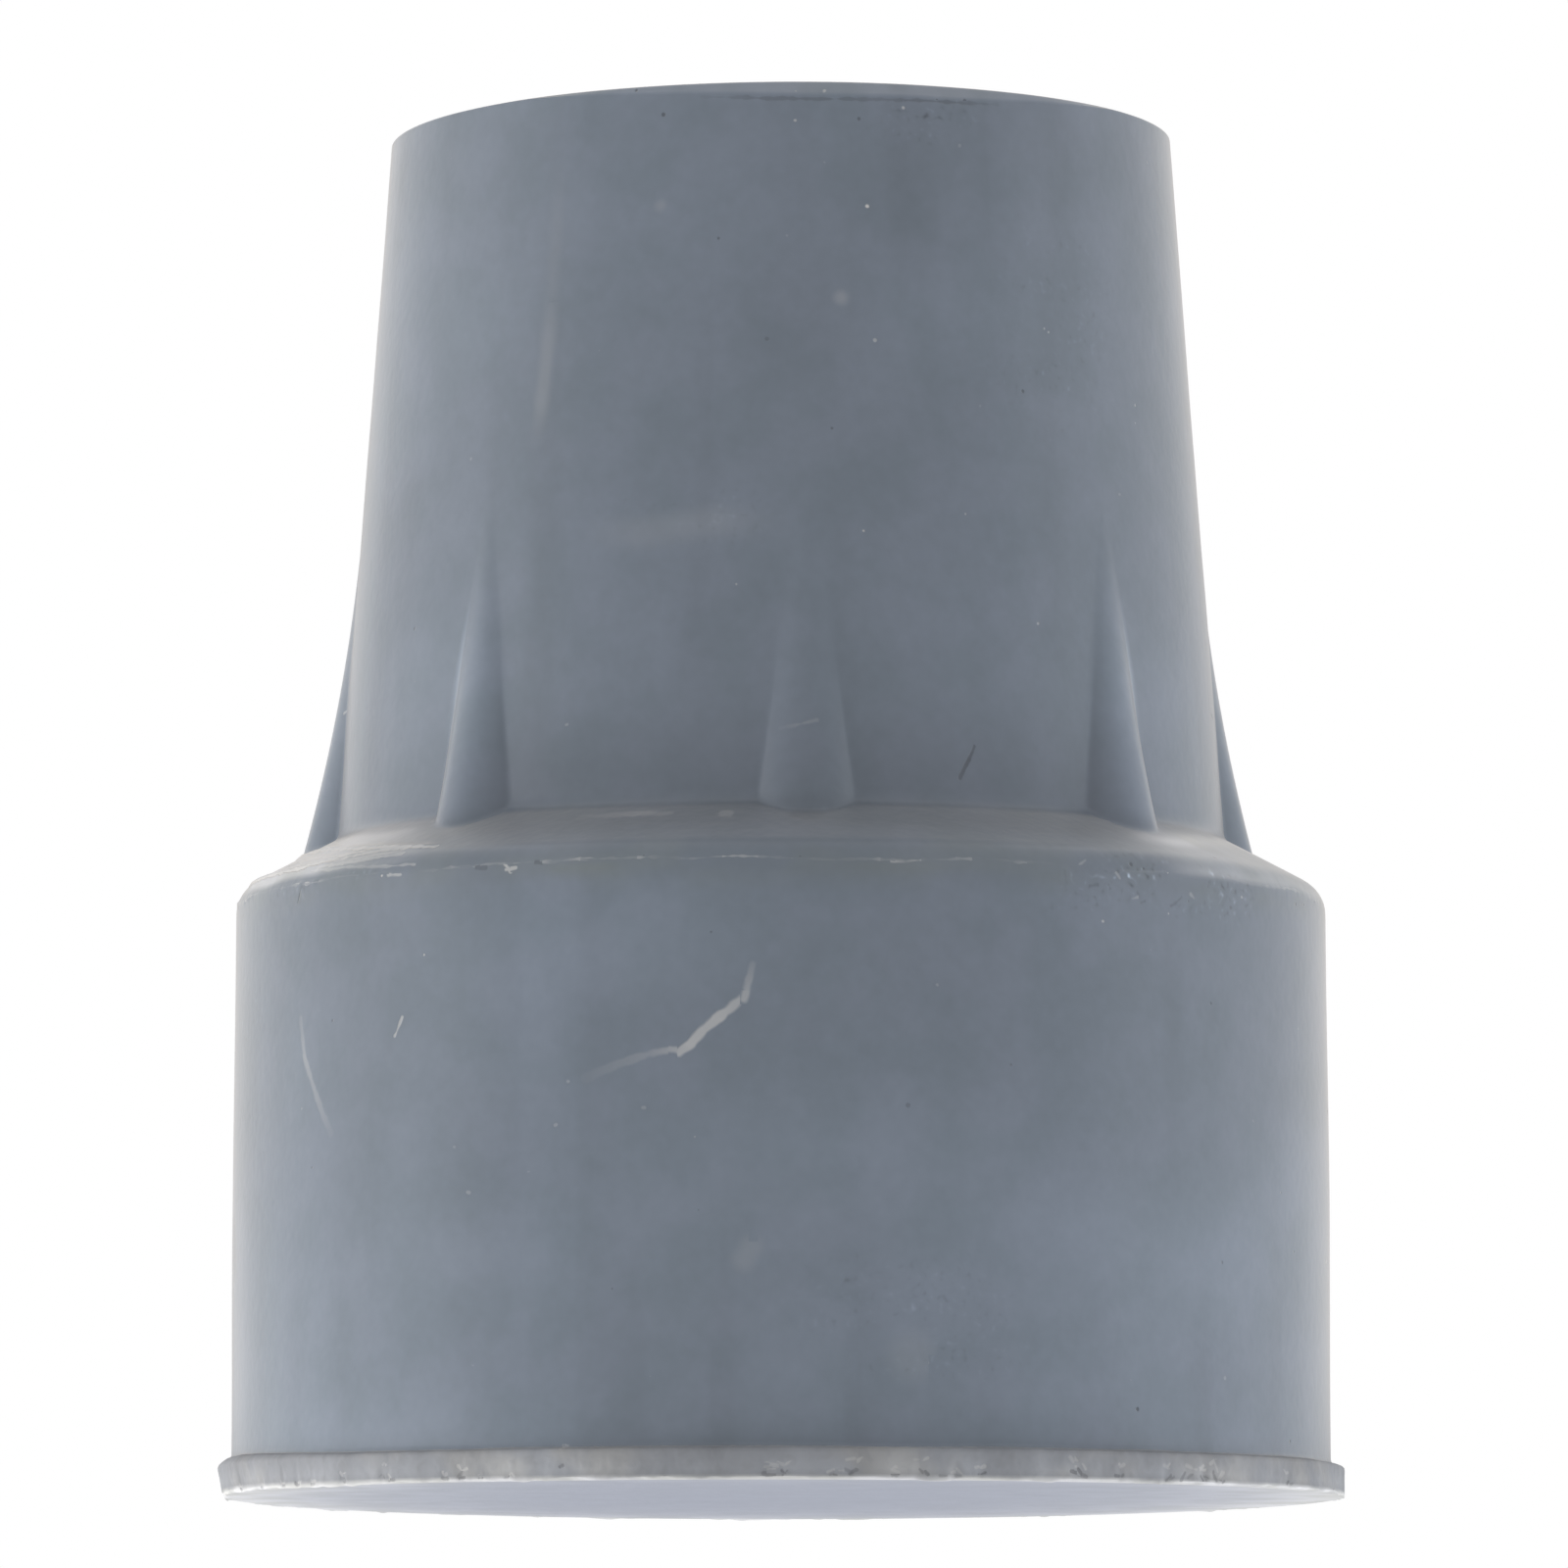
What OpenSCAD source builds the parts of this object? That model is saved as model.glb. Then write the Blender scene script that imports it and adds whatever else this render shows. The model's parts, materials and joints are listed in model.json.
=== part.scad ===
// Rubber cane tip, moulded in one piece: a flat-soled foot with a thin flange round the sole,
// a sloping shoulder, and a tapered sleeve that ribs brace against the shoulder. The end of
// the cane pushes into the blind round socket in the sleeve.
// Millimetres, +Z up. The origin is the centre of the sole, and one rib points along -Y.

/* [Cane and socket] */
// Diameter of the cane that the tip fits
cane_d = 19.05; // [15:0.05:32]
// How much smaller than the cane the socket is, so that the rubber grips it
grip = 0.25; // [0:0.05:0.8]
// Thickness of the rubber between the socket's floor and the sole
sole_t = 12.3; // [6:0.1:20]
// Width and height of the bevel that leads the cane into the mouth
mouth_bevel = 0.6; // [0.2:0.1:1.5]
// Radius of the corner round the socket's floor
socket_floor_r = 1; // [0.5:0.1:3]

/* [Sleeve] */
// Height of the whole tip
tip_h = 46.3; // [36:0.1:70]
// Thickness of the sleeve's wall at the mouth
mouth_wall = 3.95; // [2.5:0.05:8]
// Angle at which the sleeve widens downwards
sleeve_draft = 4.15; // [1:0.05:8]
// Radius of the mouth's outer edge
mouth_edge_r = 0.12; // [0.05:0.01:0.5]

/* [Foot] */
// Height of the foot's wall, from the sole to the shoulder
foot_h = 20.4; // [12:0.1:28]
// Angle at which the foot widens downwards
foot_draft = 0.2; // [0:0.05:3]
// How far the foot stands out from the sleeve at the shoulder
shoulder_w = 3.3; // [2.4:0.1:10]
// Slope of the shoulder above the horizontal
shoulder_slope = 28; // [10:1:50]
// Radius of the shoulder's outer edge
shoulder_edge_r = 1.1; // [0.3:0.1:1.6]
// Radius of the hollow corner between the shoulder and the sleeve
shoulder_root_r = 0.6; // [0.2:0.1:1.2]

/* [Flange] */
// How far the flange stands out from the foot
flange_lip = 0.5; // [0.3:0.05:3]
// Height of the flange
flange_h = 1.15; // [0.7:0.05:4]
// Radius of the flange's two outer edges
flange_edge_r = 0.14; // [0.05:0.01:0.2]
// Radius of the hollow corner between the flange and the foot
flange_root_r = 0.25; // [0.05:0.05:0.5]

/* [Ribs] */
// Number of ribs round the sleeve
rib_count = 8; // [3:1:12]
// How far up the sleeve a rib reaches from the shoulder
rib_l = 11.6; // [5:0.1:14]
// How far a rib stands out from the sleeve at the shoulder
rib_h = 0.95; // [0.5:0.05:2]
// Width of a rib at the shoulder, where it leaves the sleeve
rib_root_w = 3.4; // [1.6:0.1:6]
// Width of a rib at its top
rib_top_w = 0.5; // [0.1:0.1:1.5]
// Angle at which a rib's sides lean in, away from the sleeve
rib_side_draft = 45; // [5:1:50]

/* [Hidden] */
$fn = 96;

rubber_grey = [0.45, 0.49, 0.54];
arc_step = 10;      // degrees of turn between two points on a rounded corner
rib_steps = 10;     // straight steps along a rib's curved back
rib_bury = 1;       // how deep a rib's root lies inside the sleeve and the shoulder
rib_sink = 0.05;    // how far a rib's back starts below the sleeve's surface, at its top
cut_past = 1;       // how far a cut runs past the surface that it opens
rib_clear = 2;      // least height of plain sleeve between the ribs and the mouth
fillet_share = 0.9; // most of the flange's flat top that its hollow corner may take

socket_r = (cane_d - grip) / 2;
mouth_r = socket_r + mouth_wall;
foot_top_r = sleeve_r(foot_h) + shoulder_w;
foot_base_r = foot_top_r + foot_h * tan(foot_draft);
flange_r = foot_base_r + flange_lip;
flange_fillet_r = min(flange_root_r, fillet_share * (flange_lip - flange_edge_r));
// The slope of the shoulder and the wall of the sleeve meet at this height.
shoulder_root_z = foot_h + shoulder_w / (1 / tan(shoulder_slope) - tan(sleeve_draft));
rib_reach = min(rib_l, tip_h - shoulder_root_z - rib_clear);
rib_back_r = (pow(rib_reach, 2) + pow(rib_h + rib_sink, 2)) / (2 * (rib_h + rib_sink));

// Outer radius of the sleeve at height z.
function sleeve_r(z) = mouth_r + (tip_h - z) * tan(sleeve_draft);

function unit(v) = v / norm(v);

// Points of the arc of radius r that rounds corner b, between its neighbours a and c.
function rounded_corner(a, b, c, r) =
    let (to_a = unit(a - b),
         to_c = unit(c - b),
         half = acos(to_a * to_c) / 2,
         middle = b + unit(to_a + to_c) * r / sin(half),
         from = b + to_a * r / tan(half) - middle,
         to = b + to_c * r / tan(half) - middle,
         turn = 180 - 2 * half,
         steps = max(2, ceil(turn / arc_step)),
         sense = from.x * to.y > from.y * to.x ? 1 : -1)
    [for (i = [0:steps])
        let (t = sense * turn * i / steps)
        middle + [from.x * cos(t) - from.y * sin(t), from.x * sin(t) + from.y * cos(t)]];

// A closed outline from corners [r, z, rounding], where a rounding of 0 keeps a sharp corner.
function rounded_outline(corners) =
    [for (i = [0:len(corners) - 1])
        let (n = len(corners),
             at = function (k) [corners[(k + n) % n][0], corners[(k + n) % n][1]])
        each corners[i][2] > 0
            ? rounded_corner(at(i - 1), at(i), at(i + 1), corners[i][2])
            : [at(i)]];

// The outside of the tip, turned round the axis.
module body() {
    rotate_extrude()
        polygon(rounded_outline([
            [0, 0, 0],
            [flange_r, 0, flange_edge_r],
            [flange_r, flange_h, flange_edge_r],
            [foot_base_r, flange_h, flange_fillet_r],
            [foot_top_r, foot_h, shoulder_edge_r],
            [sleeve_r(shoulder_root_z), shoulder_root_z, shoulder_root_r],
            [mouth_r, tip_h, mouth_edge_r],
            [0, tip_h, 0]]));
}

// One rib, standing on the shoulder along +X. Its z runs up the sleeve's sloping wall.
module rib() {
    back = [for (i = [0:rib_steps])
        let (z = rib_reach - (rib_reach + 2 * rib_bury) * i / rib_steps)
        [rib_back_r - rib_sink - sqrt(pow(rib_back_r, 2) - pow(rib_reach - z, 2)), z]];
    root = [[-rib_bury, -2 * rib_bury], [-rib_bury, rib_reach]];
    side_taper = atan((rib_root_w - rib_top_w) / 2 / rib_reach * cos(rib_side_draft));
    side_cut = 3 * rib_reach;

    translate([sleeve_r(shoulder_root_z), 0, shoulder_root_z])
        rotate([0, -sleeve_draft, 0])
            difference() {
                rotate([90, 0, 0])
                    linear_extrude(height = 2 * rib_root_w, center = true)
                        polygon(concat(back, root));
                for (side = [0, 1])
                    mirror([0, side, 0])
                        translate([0, rib_root_w / 2, 0])
                            rotate([side_taper, 0, -rib_side_draft])
                                translate([-side_cut / 2, 0, -side_cut / 2])
                                    cube(side_cut);
            }
}

// The blind hole that the cane pushes into, with its lead-in and rounded floor.
module socket() {
    mouth_z = tip_h - mouth_bevel;
    straight_z = sole_t + socket_floor_r;

    translate([0, 0, straight_z])
        cylinder(r = socket_r, h = tip_h - straight_z + cut_past);
    rotate_extrude()
        polygon(rounded_outline([
            [0, sole_t, 0],
            [socket_r, sole_t, socket_floor_r],
            [socket_r, straight_z + cut_past, 0],
            [0, straight_z + cut_past, 0]]));
    translate([0, 0, mouth_z])
        cylinder(r1 = socket_r, r2 = socket_r + mouth_bevel + cut_past, h = mouth_bevel + cut_past);
}

module tip() {
    color(rubber_grey)
        difference() {
            union() {
                body();
                for (i = [0:rib_count - 1])
                    rotate([0, 0, i * 360 / rib_count - 90])
                        rib();
            }
            socket();
        }
}

tip();
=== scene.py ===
import json
import math

import bpy
import numpy as np
from mathutils import Matrix, Vector


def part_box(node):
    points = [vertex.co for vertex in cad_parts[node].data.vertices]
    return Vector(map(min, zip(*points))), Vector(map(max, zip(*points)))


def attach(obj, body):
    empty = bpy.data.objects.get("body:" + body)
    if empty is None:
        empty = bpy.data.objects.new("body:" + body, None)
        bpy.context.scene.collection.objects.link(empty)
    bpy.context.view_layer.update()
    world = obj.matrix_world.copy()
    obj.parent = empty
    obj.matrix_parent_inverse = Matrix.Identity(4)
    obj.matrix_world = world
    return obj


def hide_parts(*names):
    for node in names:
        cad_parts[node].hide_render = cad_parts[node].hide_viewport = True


# Rubber cane tip: one skin of moulded rubber, which runs from the middle of the sole over the flange, the
# foot, the shoulder and the ribbed sleeve to the mouth, and down into the socket.

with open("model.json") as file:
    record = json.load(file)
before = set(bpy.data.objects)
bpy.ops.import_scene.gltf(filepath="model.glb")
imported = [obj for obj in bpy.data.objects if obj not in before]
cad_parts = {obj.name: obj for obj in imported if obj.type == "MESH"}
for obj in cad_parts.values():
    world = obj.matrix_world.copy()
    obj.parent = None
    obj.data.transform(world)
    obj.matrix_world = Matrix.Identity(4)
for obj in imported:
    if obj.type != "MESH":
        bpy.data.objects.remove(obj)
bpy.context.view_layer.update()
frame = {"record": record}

# ---------------------------------------------------------------- sizes, in millimetres and degrees
# Angles go round the axis from the front rib, which points along -Y, towards +X.

MM = 0.001
TURN = 360.0
_, tip_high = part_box("tip")
mounts = {mount["name"]: mount for mount in frame["record"]["mounts"]}

TIP_H = tip_high[2] / MM
FLANGE_R = tip_high[0] / MM
FLANGE_LIP = 0.5
FLANGE_H = 1.15
FOOT_H = 20.4
FOOT_BASE_R = FLANGE_R - FLANGE_LIP
FOOT_TOP_R = 18.53
SHOULDER_SLOPE = math.tan(math.radians(28))
SHOULDER_EDGE_R = 1.1
SHOULDER_ROOT_R = 0.6
SLEEVE_SLOPE = math.tan(math.radians(4.15))
SOCKET_R = mounts["cane_socket"]["dims"]["r_mm"]
SOCKET_FLOOR = 12.3
SOCKET_CORNER_R = 1
MOUTH_WALL = 3.95
MOUTH_R = SOCKET_R + MOUTH_WALL
MOUTH_BEVEL = 0.6

RIBS = 8
RIB_STEP = TURN / RIBS
RIB_TOP = 32.8  # height at which a rib runs out
RIB_BACK_R = 55.0  # radius of its curved back
# How far each rib stands off its even place, which share of its height it has, and how much further up it
# reaches than the others.
RIB_OFF = np.array([0.1, 0.1, 1.2, 0.4, -0.3, 0.5, -4.0, -0.6])
RIB_SIZE = np.array([0.7, 1, 0.9, 1, 0.96, 1, 0.87, 0.92])
RIB_LIFT = np.array([0, 0, 0.5, 0, 0.3, 0, 1.2, 0])


def sleeve_r(z):
    """Radius of the sleeve at height z."""
    return MOUTH_R + (TIP_H - z) * SLEEVE_SLOPE


# ---------------------------------------------------------------- shapes of waves and curves


def smooth_step(low, high, x):
    """0 up to low, 1 from high, and smooth between."""
    t = np.clip((x - low) / (high - low), 0, 1)
    return t * t * (3 - 2 * t)


def smooth_max(a, b, k):
    """The larger of a and b, blended where they differ by less than k."""
    k = np.maximum(k, 1e-6)
    return np.maximum(a, b) + np.clip(k - np.abs(a - b), 0, None) ** 2 / (4 * k)


def wave(angle, knots, seed):
    """A smooth random wave round the ring, from -1 to 1, with this many knots in a turn."""
    values = np.random.default_rng(seed).uniform(-1, 1, knots)
    place = angle / TURN % 1 * knots
    before = np.floor(place).astype(int)
    t = smooth_step(0, 1, place - before)
    return values[before % knots] * (1 - t) + values[(before + 1) % knots] * t


def ripple(angle, z, knots, step, seed):
    """A smooth random field over the wall, from -1 to 1, with a layer of knots every step of height."""
    place = np.broadcast_to(np.asarray(z, float), np.shape(angle)) / step
    before = np.floor(place).astype(int)
    t = smooth_step(0, 1, place - before)
    field = np.zeros(np.shape(angle))
    for layer in np.unique([before, before + 1]):
        share = np.where(before == layer, 1 - t, np.where(before + 1 == layer, t, 0))
        field += share * wave(angle, knots, (seed, int(layer) + 1000))
    return field


def away(angle, centre):
    """Degrees from centre to angle, from -180 to 180."""
    return (angle - centre + TURN / 2) % TURN - TURN / 2


def hump(x, width):
    """A smooth hump that is 1 at 0 and 0 from width outwards."""
    return np.clip(1 - (x / width) ** 2, 0, None) ** 2


def between(angle, start, end, fade):
    """1 between two angles, which fades to 0 outside them."""
    middle, half = (start + end) / 2, (end - start) / 2
    return 1 - smooth_step(half - fade / 2, half + fade / 2, np.abs(away(angle, middle)))


def even(n):
    """The angles of n even steps round the ring."""
    return np.arange(n) * TURN / n


# ---------------------------------------------------------------- the outline of the body


def rounded_corner(a, b, c, r, steps):
    """Points (r, z) of the arc of radius r that rounds corner b between a and c."""
    a, b, c = (np.asarray(p, float) for p in (a, b, c))
    to_a, to_c = (a - b) / np.linalg.norm(a - b), (c - b) / np.linalg.norm(c - b)
    half = math.acos(to_a @ to_c) / 2
    reach = r / math.tan(half)
    middle = b + (to_a + to_c) / np.linalg.norm(to_a + to_c) * r / math.sin(half)
    start, end = b + to_a * reach - middle, b + to_c * reach - middle
    from_angle = math.atan2(start[1], start[0])
    turn = (math.atan2(end[1], end[0]) - from_angle + math.pi) % (2 * math.pi) - math.pi
    angles = from_angle + turn * np.linspace(0, 1, steps + 1)
    return middle + r * np.stack([np.cos(angles), np.sin(angles)], 1)


shoulder_w = FOOT_TOP_R - sleeve_r(FOOT_H)
SHOULDER_ROOT_Z = FOOT_H + shoulder_w / (1 / SHOULDER_SLOPE - SLEEVE_SLOPE)
foot_base = (FOOT_BASE_R, FLANGE_H)
foot_top = (FOOT_TOP_R, FOOT_H)
shoulder_root = (sleeve_r(SHOULDER_ROOT_Z), SHOULDER_ROOT_Z)
mouth = (MOUTH_R, TIP_H)
outline = np.vstack([
    [foot_base],
    rounded_corner(foot_base, foot_top, shoulder_root, SHOULDER_EDGE_R, 12),
    rounded_corner(foot_top, shoulder_root, mouth, SHOULDER_ROOT_R, 8),
    [mouth],
])


def body_r(z):
    """Radius of the body at height z, above the flange and without ribs."""
    return np.interp(z, outline[:, 1], outline[:, 0])


# ---------------------------------------------------------------- ribs


def rib_root_half(z):
    """Half the width of a rib at height z, where it leaves the sleeve."""
    return np.clip(0.14 * (33.8 - z), 0.15, 1.7)


def rib_shape(angle, z):
    """Which share of its full height the nearest rib has in the direction of angle, and that height. Its
    edges are crisp low down and fade out towards its top."""
    near = np.round(np.asarray(angle) / RIB_STEP).astype(int) % RIBS
    off = np.radians(away(angle, near * RIB_STEP + RIB_OFF[near]))
    across = np.abs(sleeve_r(z) * off) / rib_root_half(z)
    crisp = smooth_max(1 - across ** 2.1, 0, 0.04)
    share = crisp + (hump(across, 1.3) - crisp) * smooth_step(24, 28.5, z)
    rise = np.clip(RIB_TOP + RIB_LIFT[near] - z, 0, 14)
    return share, RIB_SIZE[near] * (RIB_BACK_R - np.sqrt(RIB_BACK_R ** 2 - rise ** 2))


def skin_r(angle, z):
    """Radius of the body with its ribs."""
    bare = body_r(z)
    share, height = rib_shape(angle, z)
    above = sleeve_r(z) + height * share - bare
    return bare + smooth_max(above, 0, share * np.minimum(0.15, height))


# Where the columns of points stand across half a rib: 1 is the edge of its root.
RIB_PLACES = np.array([0, 0.2, 0.4, 0.55, 0.68, 0.78, 0.86, 0.93, 0.98, 1.03, 1.12, 1.3])


def rib_columns(z):
    """Angles of the columns at height z. They follow the edges of the ribs, with even ones between."""
    half = np.degrees(RIB_PLACES * rib_root_half(z) / sleeve_r(z))
    columns = []
    for i in range(RIBS):
        centre = i * RIB_STEP + RIB_OFF[i]
        next_centre = (i + 1) * RIB_STEP + RIB_OFF[(i + 1) % RIBS]
        gap = np.linspace(centre + half[-1], next_centre - half[-1], 19)[1:-1]
        columns += [centre + half, gap, next_centre - half[:0:-1]]
    return np.concatenate(columns)


# ---------------------------------------------------------------- surface detail of the moulding

FLASH_Z = 20.0


def flash_waver(angle):
    """How far the line of flash lies above or below its even height."""
    return 0.09 * wave(angle, 44, 3) + 0.04 * wave(angle, 120, 4) + 0.03 * wave(angle, 330, 8)


# The runs of the flash that stand out: start, end and strength. The rest of it is faint.
FLASH_RUNS = [
    (-38.5, -33.2, 0.35), (-32.2, -31.2, 0.8), (-27.8, -23.6, 0.8), (-23.6, -20.5, 0.3),
    (-17.6, -15.2, 0.4), (-13, -9.2, 0.2), (-9.2, -5.6, 0.5), (-5.4, -2.2, 0.25), (5.5, 7.1, 0.45),
    (8.3, 10.8, 0.45), (12.9, 16.2, 0.3), (21.0, 22.5, 0.3),
]
# More of them at random places round the back
run_chance = np.random.default_rng(9)
FLASH_RUNS += [
    (start, start + run_chance.uniform(1, 6), run_chance.uniform(0.2, 0.8))
    for start in run_chance.uniform(55, 300, 26)
]


def flash_strength(angle):
    """How strongly the thin broken line of flash shows, where the mould's halves met round the crest."""
    faint = smooth_step(-0.6, 0.3, wave(angle, 90, 5)) * (0.7 + 0.3 * wave(angle, 260, 6))
    strong = sum(share * between(angle, start, end, 0.7) for start, end, share in FLASH_RUNS)
    return np.clip(0.16 * faint + strong * (0.7 + 0.3 * wave(angle, 400, 7)), 0, 1)


def flash(angle, z):
    """How far the flash stands out from the wall."""
    return 0.035 * flash_strength(angle) * hump(z - FLASH_Z - flash_waver(angle), 0.12)


# The strands of thin rubber that lie along the left of the shoulder, and at the back. Each has a strength,
# a half width and the places it joins, each an angle and a height.
STRANDS = (
    (1.0, 0.11, (-108, 21.62), (-80, 21.5), (-63, 21.25)),
    (0.6, 0.09, (-66, 21.3), (-60, 21.2), (-50, 20.98), (-42, 20.8)),
    (1.0, 0.13, (-84, 20.5), (-63, 20.62), (-57, 20.84), (-54.5, 21.0)),
    (0.7, 0.08, (-59, 20.72), (-52, 20.9), (-47, 20.86)),
    (0.6, 0.09, (-61.3, 20.46), (-53.6, 20.56), (-46, 20.7)),
    (0.5, 0.08, (-75, 20.95), (-66, 21.02), (-60, 20.95)),
    (0.4, 0.08, (-62, 20.42), (-49, 20.26), (-43, 20.24)),
    (0.4, 0.1, (150, 21.3), (172, 21.1), (196, 20.8)),
    (0.3, 0.1, (160, 20.5), (180, 20.7), (203, 20.9)),
)


def strand_height(number, along):
    """The height of the middle of a strand."""
    line = STRANDS[number][2:]
    return np.interp(along, *zip(*line)) + 0.035 * wave(along, 60, (30, number))


def strands(angle, z):
    """How far the strands stand out from the shoulder."""
    out = np.zeros(np.shape(angle))
    for number, (strength, width, *line) in enumerate(STRANDS):
        first, last = line[0][0], line[-1][0]
        along = first + away(angle, first)
        ends = smooth_step(first, first + 3, along) * (1 - smooth_step(last - 3, last, along))
        uneven = 0.8 + 0.2 * wave(angle, 130, (31, number))
        ridge = strength * ends * uneven * hump(z - strand_height(number, along), width + 0.03)
        out = np.maximum(out, 0.12 * ridge)
    return out


def band(angle, z):
    """How pale the band along the shoulder is: pale at the left, and at the right a painted glint that is
    brightest in its upper stripe.
    """
    z = z + 0.1 * wave(angle, 60, 35)
    angle = away(angle, 0)
    stripe_z = 21.35 + 0.4 * smooth_step(44, 64, angle)
    right = 0.32 + 0.6 * hump(z - stripe_z, 0.4) + 0.15 * hump(z - 20.2, 0.3)
    right = right * smooth_step(38, 48, angle) * (1 - smooth_step(75, 130, angle))
    right = right * smooth_step(19.9, 20.2, z) * (1 - smooth_step(21.7, 22.0, z))
    left = 0.3 + 0.5 * (1 - smooth_step(-66, -50, angle))
    left = left * (1 - smooth_step(-56, -42, angle)) * smooth_step(-140, -85, angle)
    top = 22.0 - 0.25 * smooth_step(-72, -60, angle)
    left = left * smooth_step(20.1, 20.35, z) * (1 - smooth_step(top - 0.2, top + 0.1, z))
    return (left + right) * (0.85 + 0.15 * ripple(angle, z, 110, 0.3, 36))


def dust(angle, z):
    """How much warm dust lies round the crest of the shoulder."""
    crest = smooth_step(19.0, 19.6, z) * (1 - smooth_step(20.4, 21.2, z))
    patches = smooth_step(-0.3, 0.7, ripple(angle, z, 70, 0.8, 37))
    brown = (between(angle, -27, -20, 3) + 0.6 * between(angle, 4, 13, 4)) * hump(z - 19.75, 0.3)
    return crest * (0.08 + 0.2 * patches) + 0.3 * brown


def shade(angle, z):
    """How much lighter the wall is painted, above 0, or darker, below 0, much of it as painted light and
    shade.
    """
    turned = np.abs(away(angle, 0))
    side = smooth_step(35, 70, turned)
    # Lighter round the middle of the foot, and painted shade that darkens the sleeve towards its top.
    wall = 0.05 * hump(z - 11.5, 6) - 0.08 * smooth_step(28, 34, z) - 0.1 * smooth_step(40, 45.5, z)
    # Painted shade just above the flange, where the foot meets it, and a little on the lowest part of the
    # foot.
    low = 0.3 * (1 - smooth_step(1.2, 1.8, z)) + 0.06 * (1 - smooth_step(2, 8, z))
    # Painted shade darkens the crest of the shoulder and the root of the sleeve, mostly at the front.
    shoulder = smooth_step(19.0, 19.8, z) * (1 - smooth_step(22.0, 22.6, z)) * (1 - side)
    root = smooth_step(20.7, 21.5, z) * (1 - smooth_step(22.6, 26.5, z)) * (1 - 0.7 * side)
    # Painted light: all ribs but the front one are lighter, with a painted glint along the edge that is
    # turned to the back.
    share, _ = rib_shape(angle, z)
    painted_flank_light = share * smooth_step(21.6, 22.2, z) * (1 - smooth_step(26.5, 31, z))
    past_middle = turned - RIB_STEP * np.round(turned / RIB_STEP)
    edge = hump(share - 0.13, 0.18) * smooth_step(1, 2, past_middle)
    edge = edge * smooth_step(22, 23, z) * (1 - smooth_step(27, 30, z))
    rib = (0.3 * painted_flank_light + 0.7 * edge) * smooth_step(15, 40, turned)
    return wall - low - 0.16 * shoulder - 0.35 * root + rib


# Scuffed places: angle, height, half the angle and half the height that each spreads over, and strength.
SCUFFS = (
    (40, 19.4, 15, 1.3, 1.0), (60, 19.7, 20, 0.6, 0.5), (-58, 19.9, 18, 0.5, 0.4),
    (180, 19.6, 110, 0.8, 0.5), (21, 45.2, 13, 0.9, 0.6), (-16, 31.6, 12, 0.8, 0.5),
    (38, 38.5, 14, 4.0, 0.25), (10, 4.5, 12, 3.0, 0.3), (-80, 13, 10, 6.0, 0.5),
    (120, 34, 40, 8.0, 0.2), (230, 12, 50, 7.0, 0.25),
)


def scuff(angle, z):
    """How rough the surface is from small dents."""
    spread = sum(
        strength * hump(away(angle, centre), 1.3 * half) * hump(z - middle, 1.3 * rise)
        for centre, middle, half, rise, strength in SCUFFS
    )
    return np.clip(1.4 * spread, 0, 1) * smooth_step(-0.5, 0.3, ripple(angle, z, 50, 0.7, 38))


def waviness(angle, z):
    """The slight unevenness of the wall, and the slight bulge of the foot."""
    uneven = 0.012 * ripple(angle, z, 14, 6.0, 20) + 0.005 * ripple(angle, z, 60, 2.5, 21)
    return uneven + 0.045 * hump(z - 10, 8)


def sag(angle, r):
    """How far the sole and the flange hang down at the front and the back, as a height below 0."""
    return -0.08 * np.cos(np.radians(angle)) ** 2 * r / FLANGE_R


# ---------------------------------------------------------------- building the skin ring by ring

# Points, their looks, their zones and how far along the outline they lie, in one array for each ring
points, looks, zones, lengths = [], [], [], []
# Faces and the part that each belongs to, and the rings themselves
faces, parts, rings = [], [], []
# How far along the outline each part starts
part_start = {}


def ring(part, angles, r, z, pale=0, light=0, warm=0, zone=0, rough=0):
    """Adds a ring of points at these angles, and joins it to the ring before with faces of this part. Each
    point carries how pale, light, warm and rough it is, and its zone: the wall 0, the flange 1 or the
    sole 2."""
    angles = np.asarray(angles, float)
    values = (np.asarray(v, float) for v in (r, z, pale, light, warm, zone, rough))
    r, z, pale, light, warm, zone, rough = (np.broadcast_to(v, angles.shape) for v in values)
    place = np.array([r.mean(), z.mean()])
    start, length = 0, 0
    if rings:
        last_start, last_angles, last_place, last_length = rings[-1]
        start = last_start + len(last_angles)
        length = last_length + np.hypot(*(place - last_place))
        part_start.setdefault(part, last_length)
        made = len(faces)
        join((last_start, last_angles), (start, angles))
        parts.extend([part] * (len(faces) - made))
    rings.append((start, angles, place, length))
    lengths.append(np.full(len(angles), length))
    turn = np.radians(angles)
    points.append(np.stack([r * np.sin(turn), -r * np.cos(turn), z], 1))
    # The wall has lighter clouds and darker streaks.
    cloud = 0.6 * ripple(angles, z, 9, 8.0, 80) + 0.4 * ripple(angles, z, 23, 3.5, 81)
    streak = ripple(angles, z, 80, 15.0, 82)
    mottle = 0.25 * smooth_step(-0.1, 0.8, cloud) - 0.12 * smooth_step(0.1, 0.9, streak)
    light = light + (mottle if part == "wall" else 0.08)
    looks.append(np.stack([pale, light, warm], 1))
    zones.append(np.stack([zone, rough, 0 * zone], 1))


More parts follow.
